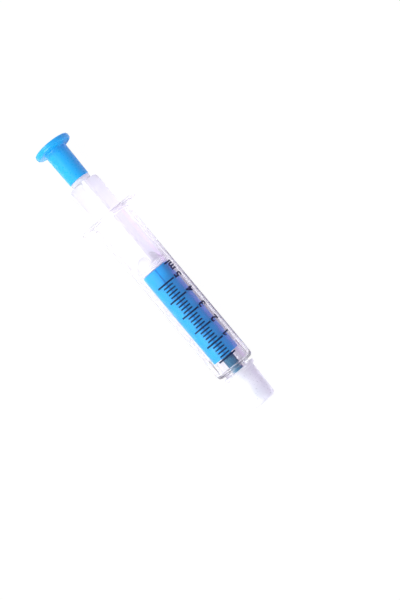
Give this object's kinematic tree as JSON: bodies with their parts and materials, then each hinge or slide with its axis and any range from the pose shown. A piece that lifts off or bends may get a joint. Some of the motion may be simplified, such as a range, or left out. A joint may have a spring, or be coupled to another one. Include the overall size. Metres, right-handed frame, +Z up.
{
  "type": "syringe highlighter pen",
  "caption": "Clear syringe-shaped pen with a printed millilitre scale, a wrapped ink core, a felt nib, a sliding crossed plunger with a thumb press, and a frosted cap.",
  "frame": {"origin": "middle of the pen's length, on the surface that the pen lies on", "axes": "+X along the barrel's axis towards the cap, +Z up through the printed scale, the finger flange wide along Y"},
  "size_m": [0.1244, 0.0252, 0.0164],
  "materials": {
    "clear_barrel": "clear polished plastic",
    "clear_rod": "clear polished plastic",
    "blue_plastic": "moulded, softly glossy",
    "blue_film": "thin coloured film",
    "inked_fibre": "fibre bundle soaked in ink",
    "inked_felt": "firm felt soaked in ink",
    "frosted_cap": "frosted, see-through",
    "soft_seal": "soft translucent elastomer",
    "print_ink": "printed ink"
  },
  "bodies": {
    "barrel": {"barrel": "clear_barrel", "core_sleeve": "blue_film", "ink_core": "inked_fibre", "nib": "inked_felt"},
    "seal": {"piston_seal": "soft_seal"},
    "plunger": {"plunger_rod": "clear_rod", "thumb_cap": "blue_plastic"},
    "cap": {"cap_shell": "frosted_cap", "cap_seal": "soft_seal"}
  },
  "joints": [
    {"name": "plunger_slide", "type": "slide", "parent": "barrel", "child": "seal", "axis": [-1, 0, 0], "range_m": [0, 0.0235]},
    {"name": "plunger_turn", "type": "hinge", "parent": "seal", "child": "plunger", "pos_m": [-0.0028, 0, 0.0082], "axis": [1, 0, 0], "continuous": true},
    {"name": "cap_slide", "type": "slide", "parent": "barrel", "child": "cap", "axis": [1, 0, 0], "range_m": [0, 0.04]}
  ]
}
